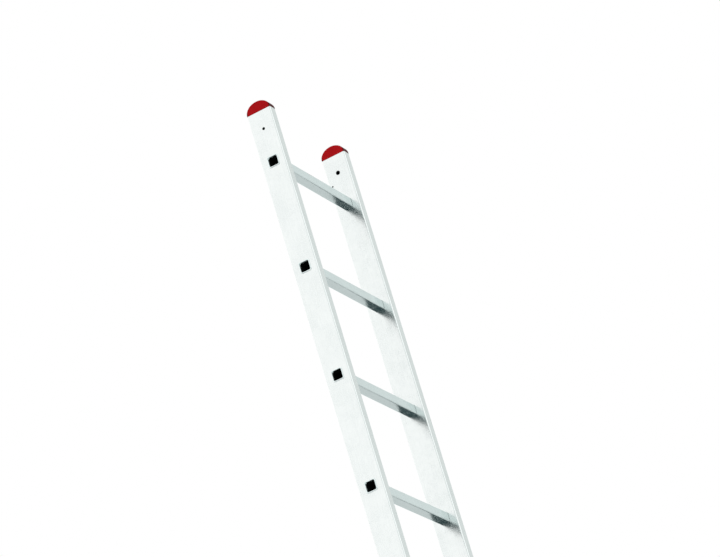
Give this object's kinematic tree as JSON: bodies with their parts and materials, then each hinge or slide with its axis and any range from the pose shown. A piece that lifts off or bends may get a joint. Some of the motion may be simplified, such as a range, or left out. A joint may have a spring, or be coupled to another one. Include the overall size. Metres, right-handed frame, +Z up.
{
  "type": "extension ladder",
  "caption": "Two-section push-up extension ladder with box-section aluminium stiles, square rungs, red end caps and spring-loaded rung locks.",
  "frame": {"origin": "middle of the ladder's footprint on the floor, at the bottom of its box", "axes": "+Z up along the stiles, X along the rungs (+X is the climber's right when facing the ladder from -Y), -Y the climber's side, where the fly section slides"},
  "size_m": [0.4148, 0.141, 4.2243],
  "materials": {
    "satin_aluminium": "satin extruded aluminium, faintly mottled, natural oxide",
    "red_plastic": "moulded, semi-matt red",
    "black_plastic": "moulded, fine texture",
    "black_rubber": "matt, lightly scuffed",
    "zinc_plated_steel": "bright zinc plate, light scratches"
  },
  "bodies": {
    "base": {"base_stile_left": "satin_aluminium", "base_stile_right": "satin_aluminium", "base_rung_1": "satin_aluminium", "base_rung_2": "satin_aluminium", "base_rung_3": "satin_aluminium", "base_rung_4": "satin_aluminium", "base_rung_5": "satin_aluminium", "base_rung_6": "satin_aluminium", "base_rung_7": "satin_aluminium", "base_rung_8": "satin_aluminium", "base_rung_9": "satin_aluminium", "base_end_cap_left": "red_plastic", "base_end_cap_right": "red_plastic", "foot_left": "black_rubber", "foot_right": "black_rubber", "base_guide_left": "zinc_plated_steel", "base_guide_right": "zinc_plated_steel", "base_guide_left_rivet_1": "zinc_plated_steel", "base_guide_left_rivet_2": "zinc_plated_steel", "base_guide_right_rivet_1": "zinc_plated_steel", "base_guide_right_rivet_2": "zinc_plated_steel"},
    "fly": {"fly_stile_left": "satin_aluminium", "fly_stile_right": "satin_aluminium", "fly_rung_1": "satin_aluminium", "fly_rung_2": "satin_aluminium", "fly_rung_3": "satin_aluminium", "fly_rung_4": "satin_aluminium", "fly_rung_5": "satin_aluminium", "fly_rung_6": "satin_aluminium", "fly_rung_7": "satin_aluminium", "fly_rung_8": "satin_aluminium", "fly_rung_9": "satin_aluminium", "fly_end_cap_left": "red_plastic", "fly_end_cap_right": "red_plastic", "fly_bottom_plug_left": "black_plastic", "fly_bottom_plug_right": "black_plastic", "fly_guide_left": "zinc_plated_steel", "fly_guide_right": "zinc_plated_steel", "fly_guide_left_rivet_1": "zinc_plated_steel", "fly_guide_left_rivet_2": "zinc_plated_steel", "fly_guide_right_rivet_1": "zinc_plated_steel", "fly_guide_right_rivet_2": "zinc_plated_steel", "extension_stop_left": "black_plastic", "extension_stop_right": "black_plastic", "extension_stop_rivet_left": "zinc_plated_steel", "extension_stop_rivet_right": "zinc_plated_steel", "lock_plate_left": "zinc_plated_steel", "lock_plate_right": "zinc_plated_steel", "lock_plate_left_rivet_1": "zinc_plated_steel", "lock_plate_left_rivet_2": "zinc_plated_steel", "lock_plate_right_rivet_1": "zinc_plated_steel", "lock_plate_right_rivet_2": "zinc_plated_steel", "pawl_bolt_left": "zinc_plated_steel", "pawl_bolt_right": "zinc_plated_steel", "pawl_spring_left": "zinc_plated_steel", "pawl_spring_right": "zinc_plated_steel"},
    "pawl_left": {"lock_pawl_left": "zinc_plated_steel"},
    "pawl_right": {"lock_pawl_right": "zinc_plated_steel"}
  },
  "joints": [
    {"name": "fly_slide", "type": "slide", "parent": "base", "child": "fly", "axis": [0, 0, 1], "range_m": [-1.68, 0.02]},
    {"name": "pawl_left_pivot", "type": "hinge", "parent": "fly", "child": "pawl_left", "pos_m": [-0.162, 0.0105, 1.895], "axis": [-1, 0, 0], "range_deg": [0, 20], "stiffness_Nm_per_rad": 0.08, "springref_deg": -34.38},
    {"name": "pawl_right_pivot", "type": "hinge", "parent": "fly", "child": "pawl_right", "pos_m": [0.162, 0.0105, 1.895], "axis": [-1, 0, 0], "range_deg": [0, 20], "stiffness_Nm_per_rad": 0.08, "springref_deg": -34.38}
  ]
}
